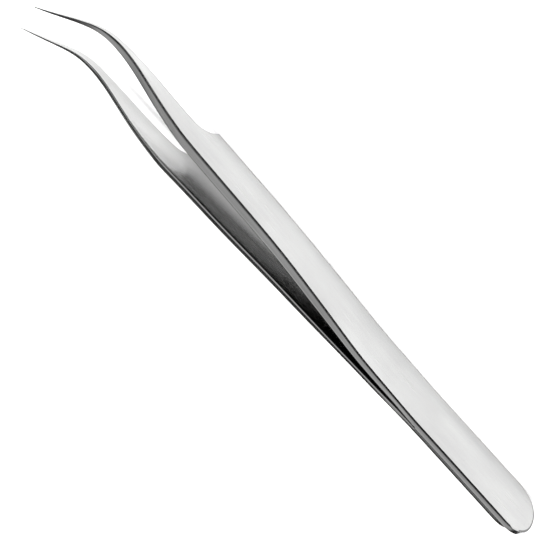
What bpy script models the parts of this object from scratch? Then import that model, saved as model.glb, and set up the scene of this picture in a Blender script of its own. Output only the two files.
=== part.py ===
"""Fine-point tweezers with curved tips: two sprung arms, welded together at the tail.

The tweezers lie on their lower edges on the plane z = 0. +X runs from the tail to the tips, +Z is up,
towards the side that the tips curve to, and the arms open along Y, mirrored about y = 0.
The origin is in the middle of the bounding box's underside. The outlines below are in millimetres,
with x measured from the tail, and become metres when a piece is placed.
"""

import math

import bmesh
import bpy
import numpy as np
from mathutils import Vector

MM = 0.001

# Driving dimensions, in millimetres
LENGTH = 118.2
TAIL_PEAK = 5.9  # height of the rounded end's foremost point
TAIL_RUN_ABOVE = 3.8  # length of its quarter ellipse above that point
TAIL_RUN_BELOW = 6.4  # and of the longer one below it
TAIL_SETBACK = {"right": 0.0, "left": 1.7}  # the left arm's end stops short of the right one's
REAR_END = 24.0  # the arms lie flat on each other up to here
HINGE_X = 36.0  # middle of the thin stretch where an arm bends
SPLIT_GAP = 0.3  # between an arm's fixed rear and its moving blade
SHOULDER_X = 82.9  # the step under the grip, where the narrow shank starts
SHANK_X = 87.1  # where the step has run out into the shank
EDGE_CHAMFER = 0.18  # on the corners of the outer face
WELD_PLACES = {"weld_rear": 6.0, "weld_middle": 13.0, "weld_front": 20.0}
WELD_RADIUS = 1.8
WELD_HALF_THICKNESS = 0.35
WELD_CLEARANCE = 0.1
SIDES = {"right": -1, "left": 1}

# Outlines: (x, value), each drawn as one smooth curve through its points
TOP_EDGE = [(5, 8.91), (20, 8.82), (33, 8.80), (40, 8.68), (46.5, 8.36), (53, 8.04),
            (60, 7.73), (70, 7.63), (SHOULDER_X, 7.48), (SHANK_X, 7.30)]
SHANK_CENTRE = [(SHANK_X, 5.11), (93.4, 4.54), (99.7, 3.66), (103.9, 3.33), (106.4, 3.44),
                (109.6, 4.50), (112.7, 6.74), (115.4, 8.97), (LENGTH, 11.15)]
SHANK_HALF_WIDTH = [(SHANK_X, 2.19), (93.4, 1.66), (99.7, 1.01), (103.9, 0.65), (106.4, 0.55),
                    (109.6, 0.33), (112.8, 0.19), (116.0, 0.11), (LENGTH, 0.06)]
OUTER_FACE = [(REAR_END, 0.92), (33, 1.25), (40, 1.58), (46.5, 2.16), (53, 2.73), (60, 3.27),
              (70, 3.84), (82.6, 4.28), (94, 4.75), (103.4, 4.63), (109.4, 4.18), (114.8, 3.44),
              (LENGTH, 2.93)]
THICKNESS = [(REAR_END, 0.87), (33, 0.98), (40, 1.12), (46.5, 1.32), (53, 1.48), (60, 1.55),
             (90, 1.50), (99, 1.34), (106, 1.10), (112.5, 0.60), (LENGTH, 0.13)]
SIDE_LEAN = [(REAR_END, 0.0), (33, 0.12), (40, 0.24), (53, 0.34), (66, 0.38), (90, 0.40),
             (99, 0.34), (106, 0.24), (112.5, 0.12), (LENGTH, 0.02)]  # inner face past the outer


def smooth_curve(points, first_slope, last_slope):
    """The cubic spline through the points, with the given slopes at its two ends."""
    x, y = np.array(points, float).T
    step, rise = np.diff(x), np.diff(y)
    count = len(x)
    system, target = np.eye(count), np.zeros(count)
    target[0], target[-1] = first_slope, last_slope
    for i in range(1, count - 1):
        system[i, i - 1] = 1 / step[i - 1]
        system[i, i] = 2 / step[i - 1] + 2 / step[i]
        system[i, i + 1] = 1 / step[i]
        target[i] = 3 * (rise[i - 1] / step[i - 1] ** 2 + rise[i] / step[i] ** 2)
    slope = np.linalg.solve(system, target)

    def value(at):
        i = int(np.clip(np.searchsorted(x, at) - 1, 0, count - 2))
        t = (np.clip(at, x[0], x[-1]) - x[i]) / step[i]
        return float(
            y[i] * (1 + 2 * t) * (1 - t) ** 2
            + y[i + 1] * t * t * (3 - 2 * t)
            + step[i] * (slope[i] * t * (1 - t) ** 2 - slope[i + 1] * t * t * (1 - t))
        )

    return value


top_edge = smooth_curve(TOP_EDGE, -0.006, -0.12)
shank_centre = smooth_curve(SHANK_CENTRE, -0.06, 0.75)
shank_half_width = smooth_curve(SHANK_HALF_WIDTH, -0.085, -0.03)
outer_face = smooth_curve(OUTER_FACE, 0.0, -0.12)
thickness = smooth_curve(THICKNESS, 0.0, -0.12)
side_lean = smooth_curve(SIDE_LEAN, 0.0, -0.01)


def shoulder_rise(x):
    """Height of the step under the grip: an arc that starts at a sharp corner and runs out level."""
    depth = shank_centre(SHANK_X) - shank_half_width(SHANK_X) - side_lean(SHOULDER_X)
    run = SHANK_X - SHOULDER_X
    radius = (run * run + depth * depth) / (2 * depth)
    along = SHANK_X - x
    return depth - (radius - math.sqrt(radius * radius - along * along))


def quarter_ellipse(share):
    """Its height, 0 to 1, at that share of its run."""
    return math.sqrt(1 - (1 - share) ** 2)


def plan(x, tail):
    """Middle height and half width of the outer face at x, and the slope of its middle line."""
    if x >= SHANK_X:
        slope = (shank_centre(x + 0.05) - shank_centre(x - 0.05)) / 0.1
        return shank_centre(x), shank_half_width(x), slope if x > SHANK_X else 0.0
    top, bottom = top_edge(x), side_lean(x) + (shoulder_rise(x) if x > SHOULDER_X else 0.0)
    if x < tail + TAIL_RUN_ABOVE:
        top = TAIL_PEAK + (top - TAIL_PEAK) * quarter_ellipse((x - tail) / TAIL_RUN_ABOVE)
    if x < tail + TAIL_RUN_BELOW:
        bottom = TAIL_PEAK - (TAIL_PEAK - bottom) * quarter_ellipse((x - tail) / TAIL_RUN_BELOW)
    return (top + bottom) / 2, (top - bottom) / 2, 0.0


def section(x, arm):
    """The six corners of an arm's cross-section at x."""
    height, half_width, slope = plan(x, TAIL_SETBACK[arm])
    outer, thick, lean = outer_face(x), thickness(x), side_lean(x)
    chamfer = min(EDGE_CHAMFER, 0.3 * half_width, 0.3 * thick)
    half_corners = [
        (outer - thick, half_width + lean),
        (outer - chamfer, half_width + lean * chamfer / thick),
        (outer, half_width - chamfer),
    ]
    corners = half_corners + [(y, -w) for y, w in reversed(half_corners)]
    turn = math.hypot(1, slope)
    return [Vector((x - w * slope / turn, SIDES[arm] * y, height + w / turn)) for y, w in corners]


def stations(start, end, tail):
    """Where the cross-sections stand, closer together round the tail, the step and the tips."""
    turns = [1 - math.cos(math.radians(a)) for a in range(10, 91, 10)]
    end_round = [tail + run * turn for run in (TAIL_RUN_ABOVE, TAIL_RUN_BELOW) for turn in turns]
    end_round = sorted(x for x in end_round if x > tail + 0.03)
    grip = [14.0] + [REAR_END + 4 * i for i in range(15)]
    step = [SHOULDER_X + (SHANK_X - SHOULDER_X) * i / 7 for i in range(8)]
    shank = [SHANK_X + (LENGTH - SHANK_X) * i / 24 for i in range(1, 25)]
    first = max(start, end_round[0])
    return [first] + [x for x in end_round + grip + step + shank if first < x < end - 0.2] + [end]


def steel(name, grey, roughness):
    material = bpy.data.materials.new(name)
    material.use_nodes = True
    shader = material.node_tree.nodes["Principled BSDF"]
    shader.inputs["Base Color"].default_value = (grey, grey, grey * 0.99, 1)
    shader.inputs["Metallic"].default_value = 1.0
    shader.inputs["Roughness"].default_value = roughness
    material.diffuse_color = (grey, grey, grey, 1)
    return material


def add_object(name, shape, origin, material):
    """Turns a bmesh in millimetres from the tail into an object whose origin is at the given point."""
    bmesh.ops.recalc_face_normals(shape, faces=shape.faces)
    bmesh.ops.translate(shape, verts=shape.verts, vec=-origin)
    bmesh.ops.scale(shape, verts=shape.verts, vec=(MM, MM, MM))
    mesh = bpy.data.meshes.new(name)
    shape.to_mesh(mesh)
    shape.free()
    mesh.materials.append(material)
    thing = bpy.data.objects.new(name, mesh)
    thing.location = (origin - Vector((LENGTH / 2, 0, 0))) * MM
    bpy.context.scene.collection.objects.link(thing)
    return thing


def arm_piece(name, arm, start, end, origin, material):
    """One stretch of an arm: its first cross-section, extruded from station to station."""
    shape = bmesh.new()
    first, *others = stations(start, end, TAIL_SETBACK[arm])
    face = shape.faces.new([shape.verts.new(corner) for corner in section(first, arm)])
    for x in others:
        face = bmesh.ops.extrude_discrete_faces(shape, faces=[face])["faces"][0]
        for vert, corner in zip(face.verts, section(x, arm), strict=True):
            vert.co = corner
    bmesh.ops.holes_fill(shape, edges=shape.edges)
    return add_object(name, shape, origin, material)


def lens(shape_name, x, radius, half_thickness, material):
    """A round weld nugget, thin across the seam, standing between the two arms."""
    shape = bmesh.new()
    bmesh.ops.create_uvsphere(shape, u_segments=20, v_segments=10, radius=1)
    bmesh.ops.scale(shape, verts=shape.verts, vec=(radius, half_thickness, radius))
    height = top_edge(x) / 2
    bmesh.ops.translate(shape, verts=shape.verts, vec=(x, 0, height))
    return add_object(shape_name, shape, Vector((x, 0, height)), material)


def cut_pocket(arm, cutter):
    cutter.hide_render = True
    cutter.display_type = "WIRE"
    cut = arm.modifiers.new(cutter.name, "BOOLEAN")
    cut.operation = "DIFFERENCE"
    cut.solver = "EXACT"
    cut.object = cutter


def clear_scene():
    for thing in list(bpy.data.objects):
        bpy.data.objects.remove(thing, do_unlink=True)


def build():
    clear_scene()
    brushed = steel("brushed_steel", 0.72, 0.28)
    weld_metal = steel("weld_metal", 0.45, 0.5)
    flexure_y = outer_face(HINGE_X) - thickness(HINGE_X) / 2
    hinge_height = top_edge(HINGE_X) / 2
    rears = []
    for arm, side in SIDES.items():
        rears.append(arm_piece(f"{arm}_arm_rear", arm, 0, HINGE_X - SPLIT_GAP / 2, Vector(), brushed))
        hinge = Vector((HINGE_X, side * flexure_y, hinge_height))
        arm_piece(f"{arm}_arm_blade", arm, HINGE_X + SPLIT_GAP / 2, LENGTH, hinge, brushed)
    for name, x in WELD_PLACES.items():
        lens(name, x, WELD_RADIUS, WELD_HALF_THICKNESS, weld_metal)
        for rear in rears:
            cutter = lens(
                f"{name}_pocket_{rear.name}",
                x,
                WELD_RADIUS + WELD_CLEARANCE,
                WELD_HALF_THICKNESS + WELD_CLEARANCE,
                weld_metal,
            )
            cut_pocket(rear, cutter)


build()
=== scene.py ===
"""Fine-point tweezers with curved tips: the finished look of the two sprung arms and their weld.

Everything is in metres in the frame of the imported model: +X from the tail to the tips, +Z up from the
lower edges that the tweezers lie on, and the arms open along Y. The outlines below are in millimetres,
with x measured from the tail.
"""

import math

import bmesh
import bpy
import numpy as np
from mathutils import Matrix, Vector


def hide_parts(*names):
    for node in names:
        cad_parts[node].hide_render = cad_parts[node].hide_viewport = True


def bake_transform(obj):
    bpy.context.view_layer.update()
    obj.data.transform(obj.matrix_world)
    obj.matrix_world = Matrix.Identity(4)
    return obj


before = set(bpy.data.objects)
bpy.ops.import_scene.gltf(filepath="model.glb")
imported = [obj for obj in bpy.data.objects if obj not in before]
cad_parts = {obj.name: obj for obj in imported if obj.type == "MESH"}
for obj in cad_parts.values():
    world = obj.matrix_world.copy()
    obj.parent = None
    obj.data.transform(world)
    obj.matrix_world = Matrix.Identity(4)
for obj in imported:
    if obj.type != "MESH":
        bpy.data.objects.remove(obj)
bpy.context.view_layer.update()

MM = 0.001
TAIL_X = -0.0591  # where the right arm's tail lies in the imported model, in metres

# The arms' sizes, in millimetres
LENGTH = 118.2
TAIL_PEAK = 5.9  # height of the rounded end's foremost point
TAIL_STRETCH = {"above": 1.12, "below": 0.968}  # of the rounded end, from the bar's arcs
TAIL_ROUNDING = 7.0  # how far the rounded end reaches, and so the whole of the stretch
TAIL_SEGMENTS = 24  # of each arc of the rounded end
TAIL_BEVEL = 0.4  # share of the bevel that is left at the very end
TAIL_SETBACK = {"right": 0.0, "left": 1.7}
SIDES = {"right": -1, "left": 1}
SHOULDER_X = 82.9
SHANK_X = 87.1
BAR_HALF_WIDTH, BAR_THICKNESS = 5.0, 1.2  # the straight bar that each arm is shaped from
BEVEL = 0.30  # the ground bevel round the outer face, on the bar
BEVEL_WIDTH, BEVEL_DROP = 0.28, 0.15  # and on the arm
ROLL = 0.09  # between the bevel and the side
SLENDER_HALF_WIDTH, SLENDER_THICKNESS = 0.6, 0.7  # the bevel shrinks where the arm is less
OUTER_RIM = 0.10  # strip along the flat of the outer face, so that its shading stays flat
INNER_CORNER = 0.15  # broken edge round the inner face
INNER_CORNER_START = 26.0  # the inner corners are sharp up to here, where the arms lie together
FACE_PROUD = 0.10  # the ground outer face over its plain outline, as far as the step
TAIL_FACE_PROUD = 0.06  # and at the tail
PROUD_GROWS, PROUD_FADES = (5, 25), (84, 92)  # from the tail's to the grip's, and to none on the shank
FACE_BOW = 0.015  # fall of the outer face to its edges, per millimetre of half width
INNER_HOLLOW = 0.03  # rise of the inner face to its edges, likewise
TAIL_LEAN = 0.15  # fall of the upper sides away from the seam where the arms lie together
SIDE_ROUNDING = 1.5  # power of the depth that the sides fall away by
BEND_START, BEND_END = 28.0, 46.0  # the springy stretch

TOP_EDGE = [(5, 8.91), (20, 8.82), (33, 8.80), (40, 8.68), (46.5, 8.36), (53, 8.04),
            (60, 7.73), (70, 7.63), (SHOULDER_X, 7.48), (SHANK_X, 7.30)]
SHANK_CENTRE = [(SHANK_X, 5.11), (93.4, 4.54), (99.7, 3.66), (103.9, 3.33), (106.4, 3.44),
                (109.6, 4.50), (112.7, 6.74), (115.4, 8.97), (LENGTH, 11.15)]
SHANK_HALF_WIDTH = [(SHANK_X, 2.19), (93.4, 1.66), (99.7, 1.01), (103.9, 0.65), (106.4, 0.55),
                    (109.6, 0.33), (112.8, 0.19), (116.0, 0.11), (LENGTH, 0.06)]
OUTER_FACE = [(24, 0.92), (33, 1.25), (40, 1.58), (46.5, 2.16), (53, 2.73), (60, 3.27),
              (70, 3.84), (82.6, 4.28), (94, 4.75), (103.4, 4.63), (109.4, 4.18), (114.8, 3.44),
              (LENGTH, 2.93)]
THICKNESS = [(24, 0.87), (33, 0.98), (40, 1.12), (46.5, 1.32), (53, 1.48), (60, 1.55),
             (90, 1.50), (99, 1.34), (106, 1.10), (112.5, 0.60), (LENGTH, 0.13)]
SIDE_LEAN = [(24, 0.0), (33, 0.12), (40, 0.24), (53, 0.34), (66, 0.38), (90, 0.40),
             (99, 0.34), (106, 0.24), (112.5, 0.12), (LENGTH, 0.02)]


def smooth_curve(points, first_slope, last_slope):
    """The cubic spline through the points, with the given slopes at its two ends."""
    x, y = np.array(points, float).T
    step, rise = np.diff(x), np.diff(y)
    count = len(x)
    system, target = np.eye(count), np.zeros(count)
    target[0], target[-1] = first_slope, last_slope
    for i in range(1, count - 1):
        system[i, i - 1] = 1 / step[i - 1]
        system[i, i] = 2 / step[i - 1] + 2 / step[i]
        system[i, i + 1] = 1 / step[i]
        target[i] = 3 * (rise[i - 1] / step[i - 1] ** 2 + rise[i] / step[i] ** 2)
    slope = np.linalg.solve(system, target)

    def value(at):
        i = int(np.clip(np.searchsorted(x, at) - 1, 0, count - 2))
        t = (np.clip(at, x[0], x[-1]) - x[i]) / step[i]
        return float(
            y[i] * (1 + 2 * t) * (1 - t) ** 2
            + y[i + 1] * t * t * (3 - 2 * t)
            + step[i] * (slope[i] * t * (1 - t) ** 2 - slope[i + 1] * t * t * (1 - t))
        )

    return value


top_edge = smooth_curve(TOP_EDGE, -0.006, -0.12)
shank_centre = smooth_curve(SHANK_CENTRE, -0.06, 0.75)
shank_half_width = smooth_curve(SHANK_HALF_WIDTH, -0.085, -0.03)
outer_face = smooth_curve(OUTER_FACE, 0.0, -0.12)
thickness = smooth_curve(THICKNESS, 0.0, -0.12)
side_lean = smooth_curve(SIDE_LEAN, 0.0, -0.01)
TAIL_BAR_PEAK = (2 * TAIL_PEAK / top_edge(0) - 1) * BAR_HALF_WIDTH  # height on the bar


def ease(x, start, end):
    """0 before start, 1 after end and smooth in between."""
    t = min(max((x - start) / (end - start), 0.0), 1.0)
    return t * t * (3 - 2 * t)


def shoulder_rise(x):
    """Height of the step under the grip: an arc from a sharp corner that runs out level."""
    depth = shank_centre(SHANK_X) - shank_half_width(SHANK_X) - side_lean(SHOULDER_X)
    run = SHANK_X - SHOULDER_X
    radius = (run * run + depth * depth) / (2 * depth)
    along = SHANK_X - x
    return depth - (radius - math.sqrt(radius * radius - along * along))


def plan(x):
    """Middle height and half width of the outer face at x, and the slope of its middle line."""
    if x > SHANK_X:
        slope = (shank_centre(x + 0.05) - shank_centre(x - 0.05)) / 0.1
        return shank_centre(x), shank_half_width(x), slope * ease(x, SHANK_X, SHANK_X + 2)
    bottom = side_lean(x) + (shoulder_rise(x) if x > SHOULDER_X else 0.0)
    return (top_edge(x) + bottom) / 2, (top_edge(x) - bottom) / 2, 0.0


def crown(x, half_width, across, depth):
    """How far a face stands out: both are ground slightly round, but the seam stays flat."""
    proud = TAIL_FACE_PROUD + (FACE_PROUD - TAIL_FACE_PROUD) * ease(x, *PROUD_GROWS)
    outer = proud * (1 - ease(x, *PROUD_FADES)) - FACE_BOW * half_width * across**4
    inner = INNER_HOLLOW * half_width * across**2 * ease(x, BEND_START, 50)
    return depth * outer + (1 - depth) * inner


def from_corner(inset, whole, bar_whole, bevel):
    """A distance in from a corner, where the bar's bevel becomes one of the given size."""
    if inset < BEVEL:
        return inset / BEVEL * bevel
    return bevel + (inset - BEVEL) / (bar_whole - BEVEL) * (whole - bevel)


def stretched(x, height, tail):
    """Turns the arcs of the rounded end into the longer and shorter quarter ellipses."""
    share = ease(height, TAIL_BAR_PEAK - 0.8, TAIL_BAR_PEAK + 0.8)
    stretch = TAIL_STRETCH["below"] + (TAIL_STRETCH["above"] - TAIL_STRETCH["below"]) * share
    along = x - tail
    return x + (stretch - 1) * min(along, TAIL_ROUNDING) * (1 - ease(along, TAIL_ROUNDING, 16))


def shaped(point, side, tail):
    """Where a point of the straight bar comes to lie on the finished arm."""
    x = stretched(point.x, point.z, tail)
    height, half_width, slope = plan(x)
    slender = min(1, half_width / SLENDER_HALF_WIDTH, thickness(x) / SLENDER_THICKNESS)
    size = min(slender, TAIL_BEVEL + (1 - TAIL_BEVEL) * ease(x, 0, 6))
    edge = from_corner(BAR_HALF_WIDTH - abs(point.z), half_width, BAR_HALF_WIDTH, BEVEL_WIDTH * size)
    down = from_corner(BAR_THICKNESS - point.y, thickness(x), BAR_THICKNESS, BEVEL_DROP * size)
    across = math.copysign(half_width - edge, point.z) / half_width
    depth = 1 - down / thickness(x)
    lean = side_lean(x) if across < 0 else max(side_lean(x), TAIL_LEAN * (1 - ease(x, 24, 34)))
    rise = across * (half_width + lean * (1 - max(depth, 0) ** SIDE_ROUNDING))
    out = outer_face(x) - down + crown(x, half_width, across, depth)
    turn = math.hypot(1, slope)
    return Vector((x - rise * slope / turn, side * out, height + rise / turn))


def straight_bar(tail):
    """A bar as wide and thick all along, rounded at the tail, with its edges bevelled and rolled."""
    bar = bmesh.new()
    bmesh.ops.create_cube(bar, size=1)
    size = (LENGTH - tail, BAR_THICKNESS, 2 * BAR_HALF_WIDTH)
    bmesh.ops.scale(bar, verts=bar.verts, vec=size)
    bmesh.ops.translate(bar, verts=bar.verts, vec=((LENGTH + tail) / 2, BAR_THICKNESS / 2, 0))
    left_flat = 0.003  # the end's two arcs don't quite meet, and the gap is merged
    for sign in (1, -1):
        end = edges_where(bar, lambda p, s=sign: near(p.x, tail) and near(p.z, s * BAR_HALF_WIDTH))
        roll(bar, end, BAR_HALF_WIDTH - sign * TAIL_BAR_PEAK - left_flat, TAIL_SEGMENTS)
    bmesh.ops.remove_doubles(bar, verts=bar.verts, dist=0.01)
    outer = [f for f in bar.faces if f.normal.y > 0.99]
    roll(bar, [e for f in outer for e in f.edges], BEVEL, 1)
    under_bevel = edges_where(bar, lambda p: near(p.y, BAR_THICKNESS - BEVEL))
    roll(bar, [e for e in under_bevel if e.calc_face_angle() > math.radians(23)], ROLL, 3)
    outer = [f for f in bar.faces if f.normal.y > 0.99]
    bmesh.ops.inset_region(bar, faces=outer, thickness=OUTER_RIM, use_even_offset=True)
    cut(bar, (INNER_CORNER_START, 0, 0), (1, 0, 0))
    inner = edges_where(bar, lambda p: near(p.y, 0) and p.x > INNER_CORNER_START - 0.01)
    roll(bar, [e for e in inner if e.calc_face_angle() > math.radians(57)], INNER_CORNER, 3)
    return bar


def near(value, wanted):
    return abs(value - wanted) < 1e-3


def edges_where(shape, fits):
    """The edges with both ends where fits says."""
    return [e for e in shape.edges if all(fits(v.co) for v in e.verts)]


def roll(shape, edges, offset, segments):
    bmesh.ops.bevel(shape, geom=edges, offset=offset, offset_type="OFFSET", segments=segments,
                    profile=0.5, affect="EDGES", clamp_overlap=True, material=-1)


def cut(shape, point, normal):
    everything = shape.verts[:] + shape.edges[:] + shape.faces[:]
    bmesh.ops.bisect_plane(shape, geom=everything, dist=1e-4, plane_co=point, plane_no=normal)


def stations():
    """Where the bar is cut across so that it can bend, closest at the step and the tips."""
    tail = [2.0 * i for i in range(1, 13)]
    grip = [25.0 + 0.9 * i for i in range(64)]
    step = [SHOULDER_X + (SHANK_X - SHOULDER_X) * (i / 14) ** 1.4 for i in range(15)]
    shank = [SHANK_X + (LENGTH - SHANK_X) * i / 80 for i in range(1, 80)]
    return tail + [x for x in grip if x < SHOULDER_X - 0.3] + step + shank


# The order of the finishes on an arm
OUTER, UPPER_CORNERS, GROUND_SIDES, INNER, INNER_CORNERS, LOWER_CORNERS = range(6)


def finish_of(face):
    """Which finish a face of the straight bar takes."""
    if abs(face.normal.y) > 0.99:
        return OUTER if face.normal.y > 0 else INNER
    if abs(face.normal.y) < 0.02:
        return GROUND_SIDES
    if face.normal.y < 0:
        return INNER_CORNERS
    return UPPER_CORNERS if face.normal.z > 0.5 else LOWER_CORNERS


def arm(name, side_name, finishes):
    """One whole arm, from its rounded tail to its needle tip."""
    side, tail = SIDES[side_name], TAIL_SETBACK[side_name]
    shape = straight_bar(tail)
    for x in stations():
        cut(shape, (x, 0, 0), (1, 0, 0))
    for share in (-0.86, -0.72, -0.5, -0.25, 0, 0.25, 0.5, 0.72, 0.86):
        cut(shape, (0, 0, share * BAR_HALF_WIDTH), (0, 0, 1))
    for share in (0.25, 0.4, 0.55):
        cut(shape, (0, share * BAR_THICKNESS, 0), (0, 1, 0))
    shape.normal_update()
    grain = shape.loops.layers.uv.new("grain")
    for face in shape.faces:
        face.smooth = True
        face.material_index = finish_of(face)
        for loop in face.loops:
            x, y, z = loop.vert.co
            height = plan(min(x, SHANK_X))[0]
            width = plan(x)[1]
            loop[grain].uv = (x / GRAIN_MM, (height + z / BAR_HALF_WIDTH * width + y) / GRAIN_MM)
    for vert in shape.verts:
        vert.co = shaped(vert.co, side, tail)
    bmesh.ops.recalc_face_normals(shape, faces=shape.faces)
    for edge in shape.edges:
        finishes_met = {f.material_index for f in edge.link_faces}
        at_outer_corner = OUTER in finishes_met and len(finishes_met) > 1
        edge.smooth = not at_outer_corner and edge.calc_face_angle(0) < math.radians(35)
    bmesh.ops.translate(shape, verts=shape.verts, vec=(TAIL_X / MM, 0, 0))
    bmesh.ops.scale(shape, verts=shape.verts, vec=(MM, MM, MM))
    mesh = bpy.data.meshes.new(name)
    shape.to_mesh(mesh)
    shape.free()
    for finish in finishes:
        mesh.materials.append(finish)
    thing = bpy.data.objects.new(name, mesh)
    bpy.context.scene.collection.objects.link(thing)
    return thing


class Finish:
    """A material's nodes, added one after another."""

    def __init__(self, name):
        self.material = bpy.data.materials.new(name)
        self.material.use_nodes = True
        self.tree = self.material.node_tree
        self.shader = self.tree.nodes["Principled BSDF"]

    def node(self, kind, inputs=None, **settings):
        node = self.tree.nodes.new(kind)
        for key, value in settings.items():
            setattr(node, key, value)
        for key, value in (inputs or {}).items():
            self.put(node, key, value)
        return node

    def put(self, node, key, value):
        if isinstance(value, bpy.types.NodeSocket):
            self.tree.links.new(value, node.inputs[key])
        else:
            node.inputs[key].default_value = value

    def noise(self, vector, scale, detail=2.0, roughness=0.5):
        inputs = {"Vector": vector, "Scale": scale, "Detail": detail, "Roughness": roughness}
        return self.node("ShaderNodeTexNoise", inputs).outputs["Fac"]

    def stretched(self, source, scale):
        return self.node("ShaderNodeMapping", {"Vector": source, "Scale": scale}).outputs[0]

    def ramp(self, value, low, high, to_low, to_high):
        inputs = {"Value": value, "From Min": low, "From Max": high, "To Min": to_low, "To Max": to_high}
        return self.node("ShaderNodeMapRange", inputs).outputs[0]

    def multiply(self, a, b):
        return self.node("ShaderNodeMath", {0: a, 1: b}, operation="MULTIPLY").outputs[0]


GRAIN_MM = 10  # the arm's length and height that the grain map counts as one


def steel(name, grey, roughness, streak, cloud, lines=(2.2, 120), shank=None):
    """Stainless steel with fine grinding lines along it and faint clouds.

    lines is how closely they lie along the arm and across it. shank is where a second grey starts and
    where it is reached, in millimetres from the tail, and that grey. On the inner face the darker grey
    before it is painted shade between the arms, and the lighter shank grey is where that painted shade
    ends.
    """
    f = Finish(name)
    uv = f.node("ShaderNodeUVMap", uv_map="grain").outputs[0]
    fine = f.noise(f.stretched(uv, (lines[0], lines[1], 1)), 1.0, 3.0, 0.65)
    broad = f.noise(f.stretched(uv, (lines[0] * 0.35, lines[1] * 0.22, 1)), 1.0, 2.0, 0.5)
    clouds = f.noise(f.stretched(uv, (0.55, 1.6, 1)), 1.0, 3.0, 0.5)
    tone = f.ramp(fine, 0.25, 0.75, 1 - streak, 1 + streak)
    tone = f.multiply(tone, f.ramp(broad, 0.3, 0.7, 1 - streak * 0.7, 1 + streak * 0.7))
    tone = f.multiply(tone, f.ramp(clouds, 0.3, 0.7, 1 - cloud, 1 + cloud))
    if shank:
        along = f.node("ShaderNodeSeparateXYZ", {0: uv}).outputs["X"]
        grey = f.ramp(along, shank[0] / GRAIN_MM, shank[1] / GRAIN_MM, grey, shank[2])
    tone = f.multiply(tone, grey)
    colour = f.node("ShaderNodeCombineColor", {0: tone, 1: tone, 2: f.multiply(tone, 0.995)}).outputs[0]
    f.put(f.shader, "Base Color", colour)
    f.put(f.shader, "Metallic", 1.0)
    f.put(f.shader, "Roughness", f.ramp(broad, 0.3, 0.7, roughness * 0.85, roughness * 1.15))
    bump = f.node("ShaderNodeBump", {"Height": fine, "Strength": 0.6, "Distance": 1.5e-6})
    f.put(f.shader, "Normal", bump.outputs[0])
    return f.material


def weld_steel():
    """Dull fused metal, mottled where it cooled."""
    f = Finish("weld_steel")
    place = f.node("ShaderNodeTexCoord").outputs["Object"]
    mottle = f.noise(place, 2500, 4.0, 0.6)
    tone = f.ramp(mottle, 0.3, 0.7, 0.28, 0.44)
    f.put(f.shader, "Base Color", f.node("ShaderNodeCombineColor", {0: tone, 1: tone, 2: tone}).outputs[0])
    f.put(f.shader, "Metallic", 1.0)
    f.put(f.shader, "Roughness", f.ramp(mottle, 0.3, 0.7, 0.42, 0.6))
    bump = f.node("ShaderNodeBump", {"Height": mottle, "Strength": 0.5, "Distance": 1e-5})
    f.put(f.shader, "Normal", bump.outputs[0])
    return f.material


brushed = steel("brushed_outer_face", 0.39, 0.24, 0.05, 0.08, shank=(94.5, 99.5, 0.44))
upper_corners = steel("upper_outer_corners", 0.36, 0.15, 0.02, 0.02)
# painted shade: the lower corners are far darker than the upper ones, a dark line along the lower edge
# that stands in for the shaded table these corners mirror
lower_corners_painted_shade = steel("lower_outer_corners_painted_shade", 0.14, 0.15, 0.02, 0.02)
ground = steel("ground_sides", 0.50, 0.22, 0.08, 0.05, lines=(1.5, 90))
# painted shade: the inner face's dark grey stands in for the shade between the arms, and it lightens to
# the shank's grey where the arms stand apart
inner_painted_shade = steel("inner_face_painted_shade", 0.31, 0.20, 0.03, 0.03, shank=(SHOULDER_X - 3, SHANK_X + 3, 0.46))
broken_edge = steel("inner_corners", 0.54, 0.16, 0.02, 0.02)
arm_finishes = [brushed, upper_corners, ground, inner_painted_shade, broken_edge, lower_corners_painted_shade]

for side_name in SIDES:
    piece = arm(f"{side_name}_arm", side_name, arm_finishes)
    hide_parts(f"{side_name}_arm_rear", f"{side_name}_arm_blade")
    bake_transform(piece)

weld = weld_steel()
for name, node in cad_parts.items():
    if name.startswith("weld_"):
        node.data.materials.clear()
        node.data.materials.append(weld)


# The table, the light and the camera
def table_top():
    shape = bmesh.new()
    bmesh.ops.create_grid(shape, x_segments=8, y_segments=8, size=3.0)
    mesh = bpy.data.meshes.new("table_top")
    shape.to_mesh(mesh)
    shape.free()
    f = Finish("table_white")
    f.put(f.shader, "Base Color", (0.86, 0.86, 0.86, 1))
    f.put(f.shader, "Roughness", 0.8)
    mesh.materials.append(f.material)
    thing = bpy.data.objects.new("table_top", mesh)
    thing.location.z = -0.0001
    bpy.context.scene.collection.objects.link(thing)


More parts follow.
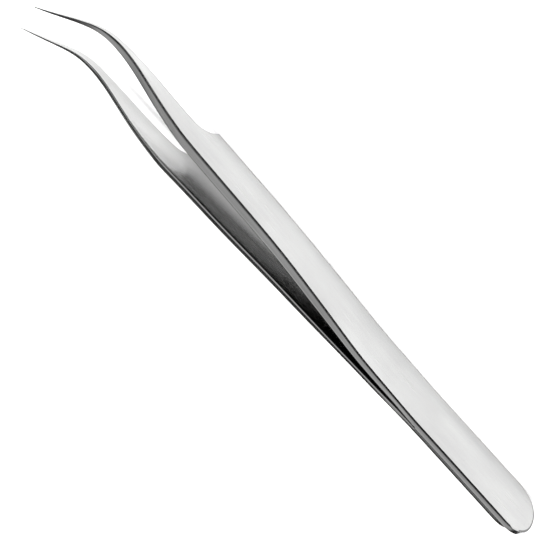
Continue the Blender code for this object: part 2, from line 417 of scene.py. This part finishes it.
def surroundings():
    """The room that the steel mirrors: light from the table and overhead, dark at eye level."""
    world = bpy.data.worlds.new("studio")
    world.use_nodes = True
    tree = world.node_tree
    tree.nodes.clear()
    where = tree.nodes.new("ShaderNodeTexCoord")
    split = tree.nodes.new("ShaderNodeSeparateXYZ")
    tree.links.new(where.outputs["Generated"], split.inputs[0])
    height = tree.nodes.new("ShaderNodeMapRange")
    height.inputs["From Min"].default_value = -1
    tree.links.new(split.outputs["Z"], height.inputs["Value"])
    ramp = tree.nodes.new("ShaderNodeValToRGB")
    tree.links.new(height.outputs[0], ramp.inputs[0])
    levels = [(-1.0, 1.0), (-0.01, 0.9), (0.02, 0.04), (0.52, 0.02), (0.62, 0.14), (0.72, 0.32),
              (0.85, 0.50), (1.0, 0.55)]
    while len(ramp.color_ramp.elements) < len(levels):
        ramp.color_ramp.elements.new(0.5)
    for element, (z, level) in zip(ramp.color_ramp.elements, levels, strict=True):
        element.position = (z + 1) / 2
        element.color = (level, level, level, 1)
    # A soft glow, high up behind the tweezers
    towards = tree.nodes.new("ShaderNodeVectorMath")
    towards.operation = "DOT_PRODUCT"
    towards.inputs[1].default_value = Vector((0, 0.68, 0.73)).normalized()
    tree.links.new(where.outputs["Generated"], towards.inputs[0])
    glow = tree.nodes.new("ShaderNodeMapRange")
    glow.interpolation_type = "SMOOTHSTEP"
    for key, value in {"From Min": 0.95, "From Max": 0.985, "To Max": 0.35}.items():
        glow.inputs[key].default_value = value
    tree.links.new(towards.outputs["Value"], glow.inputs["Value"])
    both = tree.nodes.new("ShaderNodeMix")
    both.data_type, both.blend_type = "RGBA", "ADD"
    both.inputs["Factor"].default_value = 1.0
    tree.links.new(ramp.outputs[0], both.inputs["A"])
    tree.links.new(glow.outputs[0], both.inputs["B"])
    # The steel mirrors the room, and the camera sees a white background behind the table
    mirrored = tree.nodes.new("ShaderNodeBackground")
    tree.links.new(both.outputs["Result"], mirrored.inputs[0])
    seen = tree.nodes.new("ShaderNodeBackground")
    seen.inputs[0].default_value = (1, 1, 1, 1)
    ray = tree.nodes.new("ShaderNodeLightPath")
    mix = tree.nodes.new("ShaderNodeMixShader")
    tree.links.new(ray.outputs["Is Camera Ray"], mix.inputs[0])
    tree.links.new(mirrored.outputs[0], mix.inputs[1])
    tree.links.new(seen.outputs[0], mix.inputs[2])
    out = tree.nodes.new("ShaderNodeOutputWorld")
    tree.links.new(mix.outputs[0], out.inputs[0])
    bpy.context.scene.world = world


def softbox(name, place, size, power):
    lamp = bpy.data.lights.new(name, "AREA")
    lamp.size = size
    lamp.energy = power
    thing = bpy.data.objects.new(name, lamp)
    thing.location = place
    thing.rotation_euler = (-Vector(place)).to_track_quat("-Z", "Y").to_euler()
    thing.visible_glossy = False
    bpy.context.scene.collection.objects.link(thing)


def camera():
    """Looks down on the near arm, turned so that the tips point up and to the left."""
    elevation, turn, distance = math.radians(46.0), math.radians(45.796), 0.370
    tilt = math.atan(0.0457)  # of the line from the middle of the tail to the tips
    along = Vector((math.cos(tilt), 0, math.sin(tilt)))
    under = Vector((math.sin(tilt), 0, -math.cos(tilt)))
    nearer = Vector((0, -1, 0))
    down = math.cos(elevation) * under + math.sin(elevation) * nearer
    right = math.sin(turn) * down - math.cos(turn) * along
    up = math.sin(turn) * along + math.cos(turn) * down
    back = right.cross(up)
    tail_middle = Vector((TAIL_X, 0, 0)) + (0.4 * Vector((1, 0, 0)) - 5.87 * under) * MM
    aim = tail_middle + (59.12 * along + 0.804 * under - 1.103 * nearer) * MM
    data = bpy.data.cameras.new("camera")
    data.lens = 146.3
    data.sensor_width = 36
    thing = bpy.data.objects.new("camera", data)
    frame_axes = Matrix((right, up, back)).transposed().to_4x4()
    thing.matrix_world = Matrix.Translation(aim + back * distance) @ frame_axes
    bpy.context.scene.collection.objects.link(thing)
    bpy.context.scene.camera = thing


table_top()
surroundings()
softbox("overhead_softbox", (0, 0, 1.0), 0.6, 13)
softbox("front_softbox", (0, -1.0, 0.55), 1.0, 30)
camera()
bpy.context.scene.view_settings.view_transform = "Standard"
